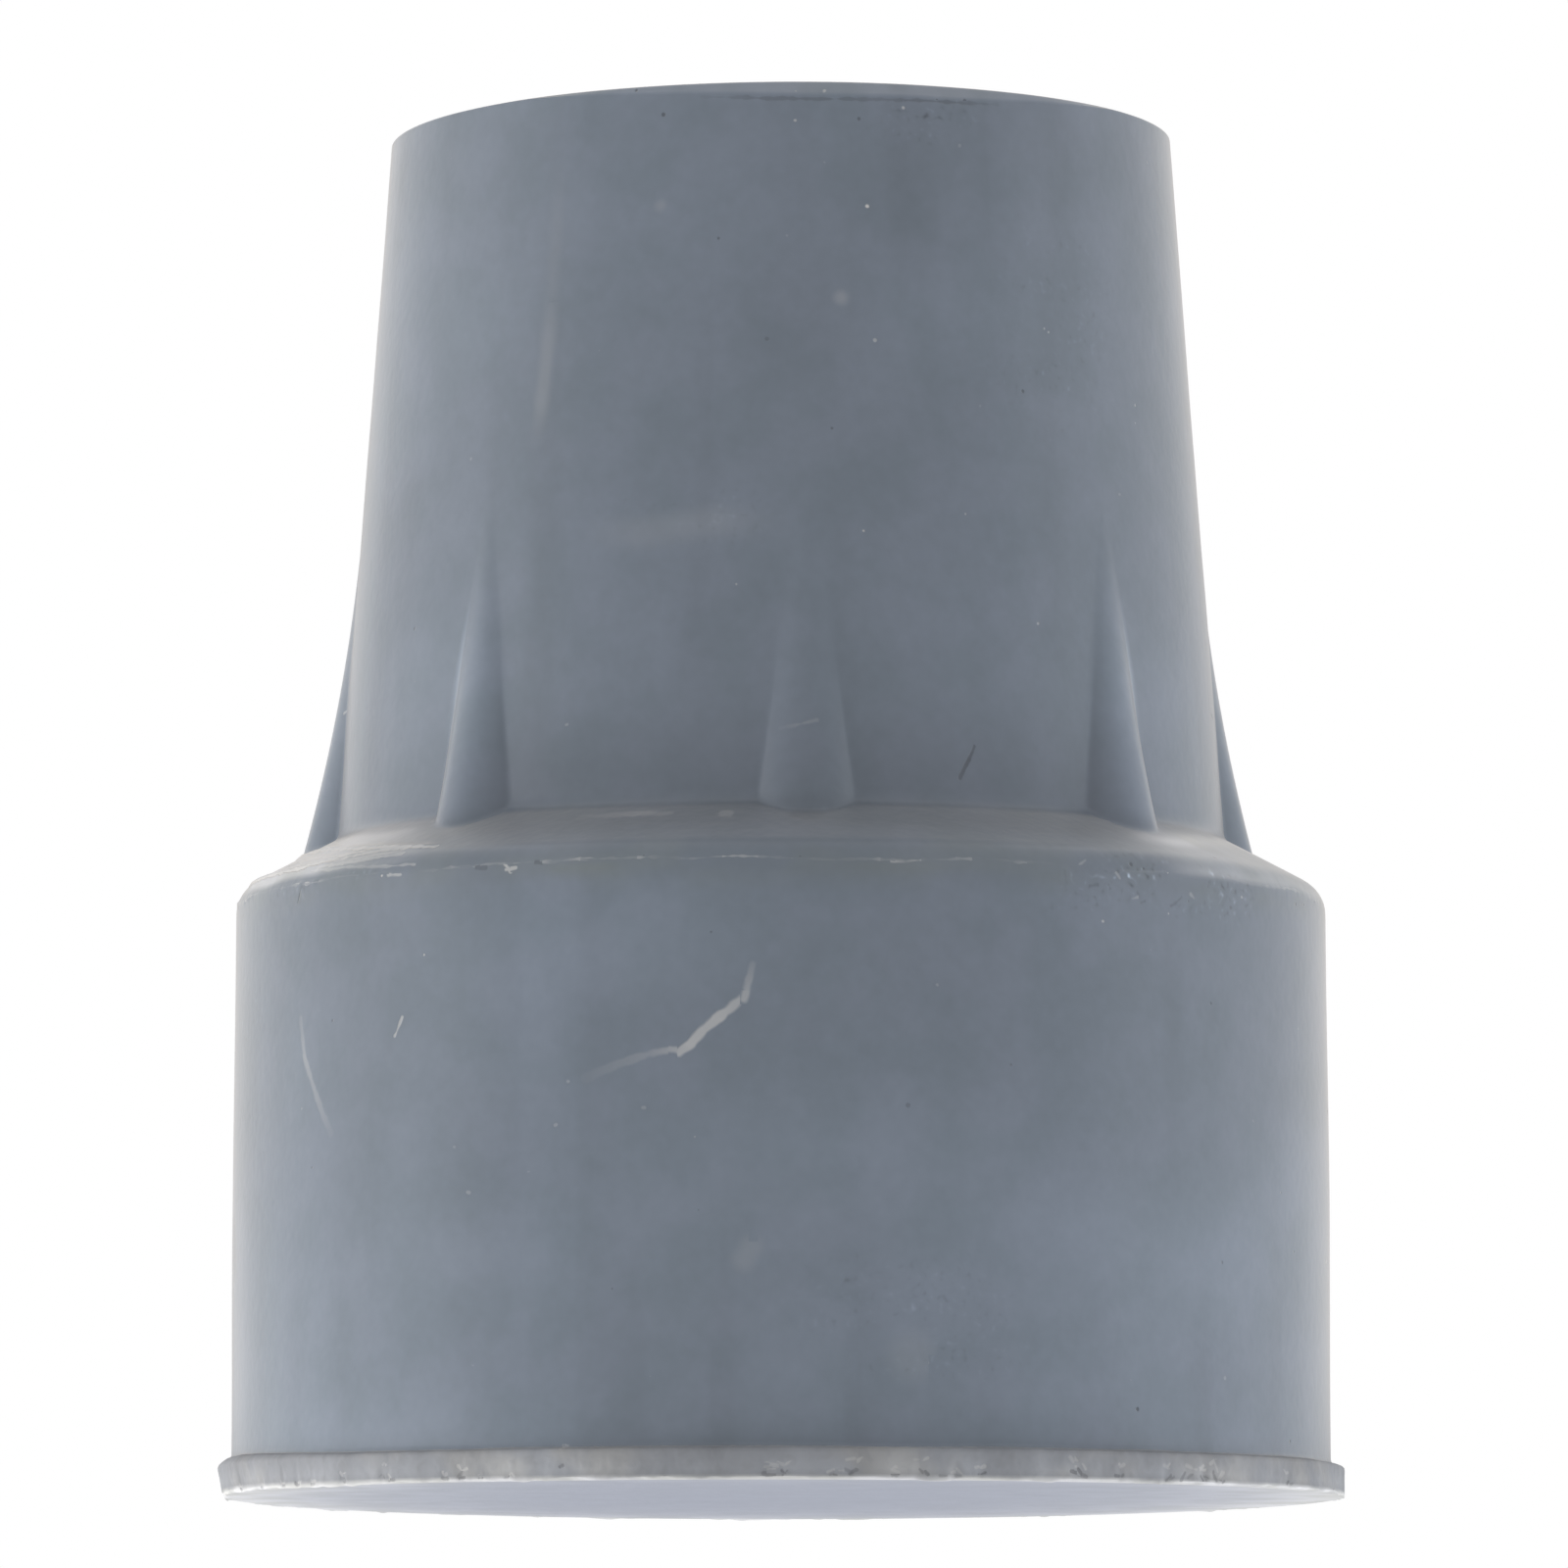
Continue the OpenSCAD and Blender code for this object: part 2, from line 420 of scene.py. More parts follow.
def join(below, above):
    """Faces between two rings, which may have different numbers of points. A ring of one is a pole."""
    (a, a_angles), (b, b_angles) = below, above
    n, m = len(a_angles), len(b_angles)
    if n == 1:
        faces.extend((a, b + (j + 1) % m, b + j) for j in range(m))
    elif m == 1:
        faces.extend((a + i, a + (i + 1) % n, b) for i in range(n))
    elif n == m:
        faces.extend((a + i, a + (i + 1) % n, b + (i + 1) % n, b + i) for i in range(n))
    else:
        i = j = 0
        while i < n or j < m:
            next_a = a_angles[i + 1] if i + 1 < n else a_angles[0] + TURN
            next_b = b_angles[j + 1] if j + 1 < m else b_angles[0] + TURN
            if j == m or (i < n and next_a <= next_b):
                faces.append((a + i, a + (i + 1) % n, b + j % m))
                i += 1
            else:
                faces.append((a + i % n, b + (j + 1) % m, b + j))
                j += 1


# ---------------------------------------------------------------- the skin, from the sole to the socket

fine = even(1200)

# Rings of the sole: radius, and how pale it is painted, as painted reflection
SOLE_RINGS = (
    (4, 0), (9, 0.05), (13, 0.2), (15, 0.35), (16.2, 0.5), (17.2, 0.7), (17.9, 0.85), (18.45, 0.95),
)


def sole():
    """Flat, and painted paler and lighter towards its edge, mostly at its sides: a painted reflection of
    the light below.
    """
    ring("sole", [0], 0, 0, zone=2)
    for r, pale in SOLE_RINGS:
        angles = even(400 if r > 18 else 120)
        turn = np.radians(angles)
        side = np.sin(turn) ** 4
        share = np.clip(0.3 - 0.15 * np.cos(turn) + 0.8 * side, 0, 1)
        # Painted reflection, strongest at the sides.
        ring("sole", angles, r, sag(angles, r), pale * share, 0.25 * pale * side, zone=2)


# Chips in the face of the flange, mostly along its lower edge: angle, height and size. Those at the back
# have random places.
CHIPS = [
    (-75, 0.05, 0.3), (-68, 0.05, 0.3), (-63, 0.05, 0.3), (-60, 0.05, 0.25), (-57, 0.05, 0.25),
    (-51.8, 0.26, 0.25), (-46, 0.47, 0.2), (-45.2, 0.1, 0.25), (-38, 0.08, 0.25), (-36, 0.3, 0.35),
    (-33.8, 0.08, 0.15), (-30.6, 0.05, 0.2), (-25, 0.95, 0.15), (-4.3, 0.2, 0.5), (-3, 0.35, 0.3),
    (1.9, 0.1, 0.35), (3.7, 0.5, 0.35), (8, 0.12, 0.3), (10.3, 0.45, 0.35), (14, 0.12, 0.4),
    (16.6, 0.25, 0.2), (26.9, 0.5, 0.4), (27.6, 0.3, 0.25), (32, 0.4, 0.2), (38, 0.4, 0.45),
    (41, 0.4, 0.5), (43.3, 0.4, 0.4), (45.2, 0.5, 0.6), (46.3, 0.2, 0.3), (58.5, 0.4, 0.35),
]
chip_chance = np.random.default_rng(50)
CHIPS += [
    (angle, chip_chance.uniform(0.05, 0.6), chip_chance.uniform(0.2, 0.6))
    for angle in chip_chance.uniform(80, 275, 30)
]

# Rows of the flange: how far out and how high where it is square, the same where it is worn, and its
# painted shade and light, darker at the top and near the bottom and lighter between
FLANGE_ROWS = (
    (-0.3, 0, -0.5, 0, 0), (-0.12, 0, -0.28, 0, 0), (-0.02, 0.01, -0.2, 0.02, 0),
    (0, 0.04, -0.18, 0.07, -0.1), (0, 0.1, -0.16, 0.14, -0.3), (0, 0.18, -0.14, 0.24, 0.05),
    (0, 0.35, -0.11, 0.4, 0.2),
    (0, 0.52, -0.07, 0.6, 0.12), (0, 0.7, -0.03, 0.8, 0), (0, 0.86, 0, 0.95, -0.1),
    (-0.01, 0.95, -0.04, 1.05, -0.25), (-0.06, 1.0, -0.15, 1.15, -0.3), (-0.14, 1.03, -0.28, 1.24, -0.3),
)


def flange():
    """Square where it is whole, and worn slanting at the left. Its top runs into the foot in a fillet."""
    worn = np.maximum(between(fine, -116, -62, 30), 0.5 * between(fine, -172, -62, 30))
    lump = wave(fine, 60, 40)
    burr = 0.05 * wave(fine, 90, 47) + 0.035 * wave(fine, 300, 48)
    cut_depth = sum(0.13 * size * hump(away(fine, angle), 2 * size) for angle, _, size in CHIPS)
    # Painted shade: the flange is darker towards its sides.
    painted_side_shade = 0.25 * between(fine, -85, -30, 20) + 0.2 * between(fine, 30, 85, 20)
    face_r = FLANGE_R - 0.02 + 0.012 * lump
    hang = sag(fine, FLANGE_R)
    for out, z, worn_out, worn_z, light in FLANGE_ROWS:
        out = out + (worn_out - out) * worn
        height = z + (worn_z - z) * worn + (burr + 0.02 * worn * lump if 0 < z < 0.1 else 0)
        rough = 0.005 * ripple(fine, height, 300, 0.3, 44) * (0.04 < z < 1.0)
        cut = cut_depth * hump(z - 0.25, 0.45) * (1 + 0.8 * ripple(fine, height, 500, 0.2, 45)) * (z > 0)
        # A painted highlight along the rounded lower edge, which faces the light below.
        pale = np.clip(1.4 * hump(z - 0.02, 0.13) * (0.8 + 0.3 * wave(fine, 160, 49)), 0, 1)
        # Painted shade and light from each row, made patchy, with a random tone.
        patchy_painted_shade = light * (0.8 + 0.5 * ripple(fine, height, 140, 0.5, 48)) + 0.12 * wave(fine, 220, 52)
        patchy_painted_shade = patchy_painted_shade + 0.1 * lump - painted_side_shade
        part = "wall" if z > 0.02 else "sole"
        ring(part, fine, face_r + out + rough - cut, height + hang, pale, patchy_painted_shade, zone=1)
    foot_r = FOOT_BASE_R + 0.008 * wave(fine, 40, 46)
    top = FLANGE_H - 0.11 + 0.02 * wave(fine, 60, 43) + 0.18 * worn + hang
    # Painted shade in the fillet where the foot meets the flange.
    ring("wall", fine, foot_r + 0.16, top + 0.01, light=-0.3, zone=1)
    ring("wall", fine, foot_r + 0.05, top + 0.06, light=-0.3)
    ring("wall", fine, foot_r, top + 0.2, light=-0.25)


def wall_ring(angles, z):
    """A ring of the outside at height z, which may differ from angle to angle."""
    z = np.broadcast_to(np.asarray(z, float), np.shape(angles))
    # The detail stands out square to the wall.
    step = 0.02
    slope = (skin_r(angles, z + step) - skin_r(angles, z - step)) / (2 * step)
    out = (waviness(angles, z) + flash(angles, z) + strands(angles, z)) / np.hypot(1, slope)
    share, _ = rib_shape(angles, z)
    pale = band(angles, z) * (1 - share * smooth_step(21.2, 21.9, z))
    light, warm, rough = shade(angles, z), dust(angles, z), scuff(angles, z)
    ring("wall", angles, skin_r(angles, z) + out, z - out * slope, pale, light, warm, rough=rough)


def foot_and_shoulder():
    """The foot, the crest in rows that follow the flash, and the shoulder."""
    for z in np.linspace(1.7, 19.3, 40):
        wall_ring(even(400), z)
    for off in (-0.5, -0.3, -0.16, -0.08, -0.04, 0, 0.04, 0.08, 0.16, 0.26, 0.36, 0.46):
        wall_ring(fine, FLASH_Z + off + flash_waver(fine) * (1 - smooth_step(0.1, 0.45, off)))
    for z in np.linspace(FLASH_Z + 0.54, 21.9, 17):
        wall_ring(fine, z)


def sleeve():
    """The stretch with the ribs, and the plain one above them."""
    for low, high, rows in ((21.98, 22.7, 9), (22.9, 30, 18), (30.7, 34.2, 6)):
        for z in np.linspace(low, high, rows):
            wall_ring(rib_columns(z), z)
    for z in np.linspace(35, TIP_H - 0.9, 16):
        wall_ring(even(360), z)


def lip_of_mouth():
    """A shallow bevel at the front of the outer edge, which fades out round the sides, and the flat rim."""
    rim = even(720)
    bevel = np.clip(0.5 * hump(away(rim, 6), 55) + 0.03 * wave(rim, 50, 60), 0.05, None)
    lip = TIP_H + 0.03 + 0.11 * np.sin(np.radians(rim)) - 0.02 * wave(rim, 12, 61)
    low = lip - bevel
    groove = 0.03 * smooth_step(0.1, 0.3, bevel)
    pale = 0.15 * bevel / 0.47
    # Painted shade darkens the two rows under the bevel, and the bevel and the edge of the lip are painted
    # paler, as painted light on faces turned up.
    ring("wall", rim, sleeve_r(low - 0.14), low - 0.14, light=-0.12)
    ring("wall", rim, sleeve_r(low - 0.06) - groove, low - 0.06, light=-0.12)
    ring("wall", rim, sleeve_r(low) - groove, low, 0.03)
    ring("wall", rim, sleeve_r(low) - 0.02 - 0.1 * bevel, low + 0.2 * bevel, pale)
    ring("wall", rim, MOUTH_R - 0.04 - 0.28 * bevel, lip - 0.07, pale)
    ring("wall", rim, MOUTH_R - 0.08 - 0.31 * bevel, lip - 0.02, 0.2)
    ring("rim", rim, MOUTH_R - 0.14 - 0.34 * bevel, lip)
    ring("rim", even(240), (MOUTH_R + SOCKET_R) / 2, lip[::3])


def socket():
    """The bevel that leads in, the bore, and the round corner and the floor at its end."""
    around = even(240)
    ring("rim", around, SOCKET_R + MOUTH_BEVEL + 0.08, TIP_H - 0.02)
    ring("rim", around, SOCKET_R + MOUTH_BEVEL, TIP_H - 0.05)
    ring("rim", around, SOCKET_R + 0.05, TIP_H - MOUTH_BEVEL - 0.02)
    ring("bore", around, SOCKET_R, TIP_H - MOUTH_BEVEL - 0.12)
    for z in np.linspace(TIP_H - 4, SOCKET_FLOOR + 1.2, 8):
        ring("bore", around, SOCKET_R, z)
    for turn in np.radians((0, 20, 45, 70, 90)):
        inwards, down = SOCKET_CORNER_R * (1 - math.cos(turn)), SOCKET_CORNER_R * (1 - math.sin(turn))
        ring("bore", around, SOCKET_R - inwards, SOCKET_FLOOR + down)
    ring("floor", even(96), 5, SOCKET_FLOOR)
    ring("floor", [0], 0, SOCKET_FLOOR)


sole()
flange()
foot_and_shoulder()
sleeve()
lip_of_mouth()
socket()

# ---------------------------------------------------------------- marks on the rubber
# A mark is a soft line. It has the width of its soft edge and the places it joins. Each place has an
# angle, a height, a half width and a strength, which is above 0 where the mark is pale and below 0 where
# it is dark.


def mark(strength, width, soft, *places):
    """A mark that is the same along its length."""
    return soft, [(angle, z, width, strength) for angle, z in places]


GOUGE = (
    (-6.0, 16.45, 0.02, 0.1), (-6.4, 15.85, 0.05, 0.3), (-6.75, 15.5, 0.07, 0.42),
    (-8.15, 15.12, 0.08, 0.46), (-9.55, 14.78, 0.12, 0.54), (-10.8, 14.44, 0.07, 0.5),
    (-12.05, 13.98, 0.1, 0.54), (-13.1, 13.74, 0.06, 0.46), (-14.0, 13.8, 0.03, 0.3),
    (-16.4, 13.66, 0.05, 0.14), (-19.3, 13.38, 0.07, 0.1), (-22.7, 12.96, 0.1, 0.03),
)
ARC = (
    (-62.1, 15.4, 0.02, 0.1), (-61.2, 14.2, 0.04, 0.24), (-59, 13.0, 0.05, 0.2),
    (-57.6, 12.3, 0.06, 0.14), (-56.2, 11.7, 0.08, 0.05),
)
SMEAR = (
    (-36.0, 43.8, 0.01, 0), (-36.2, 42, 0.01, 0.04), (-36.4, 39.5, 0.02, 0.04),
    (-36.7, 37.8, 0.05, 0.09), (-37.4, 35.6, 0.05, 0.1), (-37.8, 34.6, 0.01, 0),
)
UNDER_LIP = (
    (-14, 45.8, 0.01, -0.1), (-6, 45.72, 0.02, -0.3), (3, 45.7, 0.02, -0.3), (11, 45.74, 0.02, -0.25),
    (18, 45.78, 0.02, -0.35), (24, 45.8, 0.02, -0.3), (29, 45.86, 0.01, -0.1),
)
MARKS = [
    # The gouge and the scratches of the foot
    (0.12, GOUGE),
    (0.14, ARC),
    mark(0.45, 0.015, 0.06, (-45.0, 15.2), (-46.0, 14.6)),
    mark(0.08, 0.1, 0.5, (-6.1, 7.4), (-6.8, 7.0)),
    mark(0.06, 0.3, 0.9, (10.1, 3.9)),
    mark(-0.25, 0.08, 0.6, (-85, 9.0), (-84, 7.6)),
    # Smears and the faint ledge of the sleeve
    mark(0.15, 0.05, 0.35, (5.1, 39.0)),
    mark(0.09, 0.03, 0.3, (-20.1, 42.2)),
    (0.4, SMEAR),
    (0.7, ((-30, 31.3, 0.02, 0), (-22, 31.2, 0.1, 0.06), (-12, 31.5, 0.1, 0.07), (-3, 31.4, 0.02, 0))),
    (0.1, ((-2.8, 24.58, 0.01, 0.03), (-1, 24.68, 0.01, 0.12), (0.9, 24.8, 0.01, 0.12))),
    (0.05, ((21.8, 24.05, 0.01, -0.4), (21.0, 23.6, 0.03, -0.55), (20.0, 23.15, 0.01, -0.35))),
    # Under the front rib
    (0.12, ((-27, 21.72, 0.02, 0.05), (-20, 21.76, 0.04, 0.15), (-16.4, 21.75, 0.02, 0.1))),
    mark(0.14, 0.05, 0.12, (-10, 21.7), (-9, 21.7)),
    # A painted shade under the foot of the front rib
    mark(-0.2, 0.05, 0.3, (-1.5, 21.66), (1.2, 21.66)),
    # The crest at the left, and the dark line under the lip of the mouth, a painted shade under the bevel
    mark(0.4, 0.03, 0.08, (-47.2, 19.93), (-45.4, 19.9)),
    mark(0.5, 0.03, 0.06, (-32.0, 19.95), (-31.7, 19.84), (-31.2, 19.86)),
    mark(-0.3, 0.05, 0.06, (-35.5, 19.98), (-34.4, 19.94)),
    mark(-0.35, 0.04, 0.06, (-28.7, 20.02), (-28.0, 20.0)),
    mark(-0.4, 0.02, 0.05, (-62.3, 19.8), (-62.9, 19.4)),
    (0.06, UNDER_LIP),
]

# Small round specks: their strength and half width, and the places of those that are alike
SPECKS = (
    (0.9, 0.035, (-42.1, 17.2), (8.9, 42.1)),
    (0.7, 0.025, (7.7, 31.2), (-48.2, 19.92), (40.2, 20.0)),
    (0.45, 0.02, (-8.9, 29.4), (1.2, 24.85), (11.6, 3.7), (34.5, 3.2), (-1.1, 44.96), (31.4, 18.22)),
    (0.45, 0.02, (-1.0, 45.98), (3.1, 46.0), (6.5, 45.72), (14.5, 45.5), (40.2, 18.64), (52.2, 19.46)),
    (0.4, 0.015, (-16.2, 3.26), (-11.7, 10.96), (65.5, 15.4), (37.6, 17.4), (21.9, 31.9), (-28.8, 31.56)),
    (0.35, 0.02, (9.7, 37.6), (35.9, 38.4), (36.6, 38.3), (54.5, 36.3), (54.2, 35.7), (32.3, 28.4)),
    (-0.6, 0.03, (59.9, 9.8), (35.4, 2.35), (62, 1.6), (-24.2, 46.14), (-19.9, 45.26), (19.6, 45.84)),
    (-0.5, 0.025, (24.0, 45.88), (7.9, 45.06), (-11.7, 41.0), (31.5, 36.2), (3.7, 34.6), (-6.1, 7.5)),
    (-0.4, 0.025, (-17.0, 20.1), (-1.2, 20.02), (43.1, 19.1), (65, 19.55), (67.7, 19.62), (50.1, 20.74)),
    (-0.45, 0.03, (35.2, 20.16), (36.8, 20.04)),
    (-0.4, 0.02, (-59.4, 10.5), (-20.1, 6.1), (-11.3, 8.6), (-55.9, 15.3), (-10.1, 17.6), (63.2, 7.9)),
    (-0.3, 0.02, (9.6, 12.0), (20.5, 13.4), (46.5, 15.8), (48.0, 7.3), (-5.0, 37.6), (-59.9, 28.7)),
)
for strength, width, *spots in SPECKS:
    MARKS += [mark(strength, width, 0.05, spot) for spot in spots]

# Thin short dents of the crest: their strength, and the places that each joins
DENTS = (
    (0.22, ((28.6, 20.03), (29.5, 20.2)), ((35.2, 19.03), (36.0, 19.1)), ((45.6, 20.0), (47.4, 20.04)),
     ((33.0, 19.9), (33.6, 19.66)), ((43.5, 19.35), (44.0, 19.24))),
    (-0.25, ((29.8, 19.35), (30.7, 19.4)), ((32.1, 19.44), (32.3, 19.3)), ((46.3, 19.8), (46.2, 19.66)),
     ((40.7, 18.93), (41.3, 19.03), (41.8, 19.16)), ((36.3, 18.92), (36.8, 18.98))),
)
for strength, *lines in DENTS:
    MARKS += [mark(strength, 0.0, 0.08, *line) for line in lines]


def crest_marks():
    """The flash shows as a painted glint along its crest, and the strands as pale lines along theirs."""
    soft = 0.04
    yield soft, [
        (angle, FLASH_Z + flash_waver(angle), 0.012, 0.5 * flash_strength(angle))
        for angle in np.arange(0, TURN + 1, 2.4)
    ]
    for start, end, strength in FLASH_RUNS:
        run = np.linspace(start, end, max(2, round((end - start) / 1.1) + 1))
        glint = 0.9 * strength * np.clip(0.4 + 0.7 * wave(run, 300, 10), 0.08, 1)
        height = FLASH_Z + flash_waver(run)
        yield soft, [(angle, z, 0.018, g) for angle, z, g in zip(run, height, glint)]
    for number, (strength, width, *line) in enumerate(STRANDS):
        first, last = line[0][0], line[-1][0]
        run = np.linspace(first + 1, last - 1, max(3, round((last - first) / 3)))
        uneven = strength * (0.6 + 0.3 * wave(run, 90, (32, number)))
        height = strand_height(number, run)
        yield soft, [(angle, z, 0.35 * width, u) for angle, z, u in zip(run, height, uneven)]


def scattered(number, strength, width, seed, angles, heights, length=1):
    """Short marks at random places within these angles and heights."""
    chance = np.random.default_rng(seed)
    for _ in range(number):
        angle, z = chance.uniform(*angles), chance.uniform(*heights)
        end = (angle + length * chance.normal(0, 1), z + length * chance.normal(0, 0.2))
        yield mark(strength * chance.uniform(0.5, 1), width, 0.05, (angle, z), end)


def chip_marks(angle, z, size):
    """The torn surface of a chip in the flange: short soft marks, dark low down and pale above."""
    for number in range(4):
        strength = (-0.45, 0.28)[number % 2] * chip_chance.uniform(0.5, 1)
        lean, half = chip_chance.uniform(-1, 1), 0.5 * size * chip_chance.uniform(0.3, 0.8)
        at = angle + 3 * size * chip_chance.normal(0, 0.4)
        rise = (0.4 * z, z + 0.1)[number % 2] + 0.5 * size * chip_chance.normal(0, 0.2)
        side = math.degrees(half * math.cos(lean) / FLANGE_R)
        up = half * math.sin(lean)
        ends = ((at - side, max(rise - up, 0.05)), (at + side, max(rise + up, 0.05)))
        yield mark(strength, 0.01 + 0.02 * size, 0.06, *ends)


MARKS += crest_marks()
BACK, ALL_ROUND = (75, 280), (0, TURN)
for seed, heights in enumerate(((2, 19), (23, 45))):
    MARKS += scattered(14, 0.6, 0.02, 70 + seed, BACK, heights)
    MARKS += scattered(12, -0.6, 0.02, 72 + seed, BACK, heights)
    MARKS += scattered(24, 0.2, 0.01, 74 + seed, ALL_ROUND, heights, 0.1)
MARKS += scattered(20, 0.3, 0.01, 76, BACK, (18.6, 20.2), 0.5)
MARKS += scattered(20, -0.35, 0.01, 77, BACK, (18.6, 20.3), 0.5)
for chip in CHIPS:
    MARKS += chip_marks(*chip)

# ---------------------------------------------------------------- the mesh of the skin


def corners_of(mesh):
    """How many corners each face has, the point at each corner, and the face of each corner."""
    sizes = np.empty(len(mesh.polygons), int)
    corners = np.empty(len(mesh.loops), int)
    mesh.polygons.foreach_get("loop_total", sizes)
    mesh.loops.foreach_get("vertex_index", corners)
    return sizes, corners, np.repeat(np.arange(len(sizes)), sizes)


def carry(mesh, name, domain, values):
    """Gives each point or corner of the mesh three values that the material reads."""
    mesh.attributes.new(name, "FLOAT_VECTOR", domain).data.foreach_set("vector", values.ravel())


JOINT = 0.1  # how far the parts of a line reach past their joints, so that no gap shows
NEAR = 3.0  # how near a mark must come to a face to be its nearest one
FAR = 9.0  # a distance at which no mark shows


def place_marks(mesh, places):
    """Tells each face its nearest mark: where its corners lie along and across it, and what the mark is."""
    sizes, corners, face_of = corners_of(mesh)
    angles = np.degrees(np.arctan2(places[:, 0], -places[:, 1]))
    nearest = np.full(len(sizes), NEAR)
    place, kind = np.full((len(corners), 3), FAR), np.zeros((len(corners), 3))
    # No mark reaches the rim, the socket or the sole.
    outside = np.hypot(places[:, 0], places[:, 1]) > MOUTH_R - 0.6
    under = np.array(parts) == "sole"
    for soft, line in MARKS:
        for start, end in zip(line, line[1:] or line):
            angle, z = (start[0] + end[0]) / 2, (start[1] + end[1]) / 2
            radius = float(body_r(z))
            side, rise = math.radians(end[0] - start[0]) * radius, end[1] - start[1]
            half, turn = math.hypot(side, rise) / 2, math.atan2(rise, side)
            reach = half + (JOINT if len(line) > 2 else 0)
            right, up = np.radians(away(angles, angle)) * radius, places[:, 2] - z
            along = right * math.cos(turn) + up * math.sin(turn)
            across = up * math.cos(turn) - right * math.sin(turn)
            share = np.clip(0.5 + along / max(2 * half, 0.001), 0, 1)
            width = start[2] + (end[2] - start[2]) * share
            strength = start[3] + (end[3] - start[3]) * share
            apart = np.hypot(np.clip(np.abs(along) - reach, 0, None), across) - width
            apart = np.where(outside, apart, FAR)
            apart = np.where(under, FAR, np.bincount(face_of, apart[corners]) / sizes)
            nearer = apart < nearest
            nearest = np.where(nearer, apart, nearest)
            mine = nearer[face_of]
            spots = corners[mine]
            place[mine] = np.stack([along[spots], across[spots], np.full(len(spots), reach)], 1)
            kind[mine] = np.stack([width[spots], np.full(len(spots), soft), strength[spots]], 1)
    carry(mesh, "mark_place", "CORNER", place)
    carry(mesh, "mark_kind", "CORNER", kind)


PICTURE = 1024  # pixels along a side of a baked picture
SCALE = 9.8  # pixels of it for a millimetre of the outside
BORE_SCALE = 6  # and for a millimetre of the bore and its floor


def unwrap(mesh, places):
    """Lays the faces out flat for baked pictures: the two halves of the wall one above the other, and the
    sole, the rim, the bore and its floor beside them."""
    sizes, corners, face_of = corners_of(mesh)
    x, y = places[corners, 0], places[corners, 1]
    middle_x, middle_y = (np.bincount(face_of, v) / sizes for v in (x, y))
    middle = np.degrees(np.arctan2(middle_x, -middle_y))[face_of]
    turned = away(np.degrees(np.arctan2(x, -y)), middle)
    length = np.concatenate(lengths)[corners]
    part = np.array(parts)[face_of]
    back = np.abs(middle) > TURN / 4
    from_centre = away(middle, np.where(back, TURN / 2, 0)) + turned
    wall_up = length - part_start["wall"]
    bore_up = length - part_start["bore"]
    spread = {
        "wall": (302 + from_centre * 588 / (TURN / 2), 8 + SCALE * wall_up + 492 * back),
        "sole": (815 + SCALE * x, 826 + SCALE * y),
        "rim": (751 + SCALE * x, 496 + SCALE * y),
        "bore": (612 + (middle % TURN + turned) * 354 / TURN, 8 + BORE_SCALE * bore_up),
        "floor": (670 + BORE_SCALE * x, 290 + BORE_SCALE * y),
    }
    flat = np.zeros((len(corners), 2))
    for name, where in spread.items():
        mine = part == name
        flat[mine] = np.stack(where, 1)[mine] / PICTURE
    mesh.uv_layers.new(name="OFBake").data.foreach_set("uv", flat.ravel())


places = np.vstack(points)
mesh = bpy.data.meshes.new("moulded_rubber")
mesh.from_pydata((places * MM).tolist(), [], faces)
mesh.polygons.foreach_set("use_smooth", [True] * len(mesh.polygons))
carry(mesh, "looks", "POINT", np.vstack(looks))
carry(mesh, "zone", "POINT", np.vstack(zones))
place_marks(mesh, places)
unwrap(mesh, places)
mesh.update()
body = bpy.data.objects.new("moulded_rubber", mesh)
bpy.context.scene.collection.objects.link(body)
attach(body, "root")
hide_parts("tip")

# ---------------------------------------------------------------- tools for materials


def srgb(r, g, b):
    """The colour that a screen shows for these values from 0 to 255."""
    def linear(c):
        c = c / 255
        return c / 12.92 if c <= 0.04045 else ((c + 0.055) / 1.055) ** 2.4
    return (linear(r), linear(g), linear(b), 1)


def plug(target, value):
    """Gives the socket of a node a value, or the output of another node."""
    if isinstance(value, bpy.types.NodeSocket):
        target.id_data.links.new(value, target)
    else:
        target.default_value = value


def node(tree, kind, inputs=(), **settings):
    """Adds a node to the tree. inputs gives its sockets a value, or the output of another node."""
    made = tree.nodes.new("ShaderNode" + kind)
    for name, value in settings.items():
        setattr(made, name, value)
    for name, value in dict(inputs).items():
        plug(made.inputs[name], value)
    return made


def calc(tree, operation, *values, clamp=False):
    """The result of an operation on these values, held between 0 and 1 if clamp is set."""
    return node(tree, "Math", enumerate(values), operation=operation, use_clamp=clamp).outputs[0]


def fade(tree, value, low, high):
    """0 where the value is at low, 1 where it is at high, and smooth between."""
    inputs = {"Value": value, "From Min": low, "From Max": high}
    return node(tree, "MapRange", inputs, interpolation_type="SMOOTHSTEP").outputs["Result"]


def noise(tree, point, scale, detail):
    """A random field round 0.5, with this many waves to a millimetre."""
    inputs = {"Vector": point, "Scale": scale, "Detail": detail}
    return node(tree, "TexNoise", inputs).outputs["Fac"]


def blend(tree, below, above, share):
    """Mixes two colours: the second one covers this share of the first."""
    made = node(tree, "Mix", data_type="RGBA")
    plug(made.inputs[0], share)
    plug(made.inputs[6], below)
    plug(made.inputs[7], above)
    return made.outputs[2]


def carried(tree, name):
    """The three values that the mesh carries under this name."""
    values = node(tree, "Attribute", attribute_name=name).outputs["Vector"]
    return node(tree, "SeparateXYZ", {0: values}).outputs


